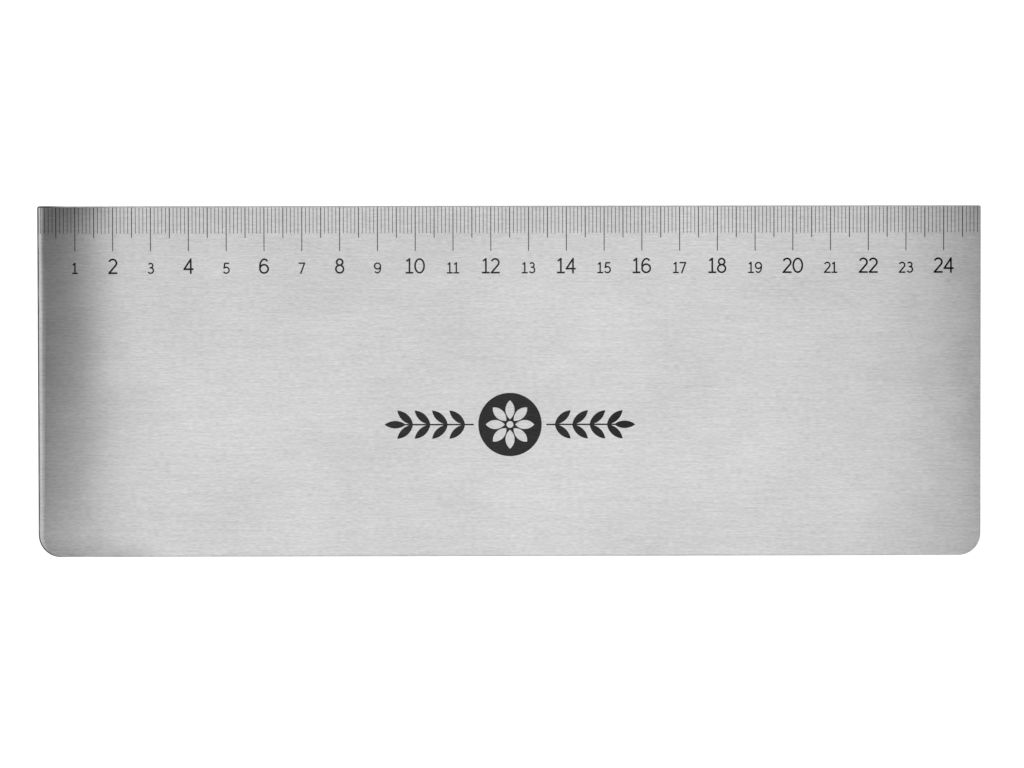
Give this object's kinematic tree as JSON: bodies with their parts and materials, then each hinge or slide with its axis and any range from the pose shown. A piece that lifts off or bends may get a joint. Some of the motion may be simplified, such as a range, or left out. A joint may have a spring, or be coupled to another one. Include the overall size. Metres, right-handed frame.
{
  "type": "cake scraper",
  "caption": "Flat blade of stainless sheet with a centimetre ruler along one long edge, two rounded corners and an engraved leaf ornament; it levels and smooths icing.",
  "frame": {"origin": "under the middle of the blade, on the plain face that it lies on", "axes": "+X along the blade the way the ruler's numbers rise, +Y towards the ruler edge, +Z out of the marked face"},
  "size_m": [0.25, 0.093, 0.0012],
  "materials": {
    "blade_steel": "brushed along the blade, with dark engraved marks"
  },
  "bodies": {
    "root": {"scraper_blade": "blade_steel"}
  },
  "joints": []
}
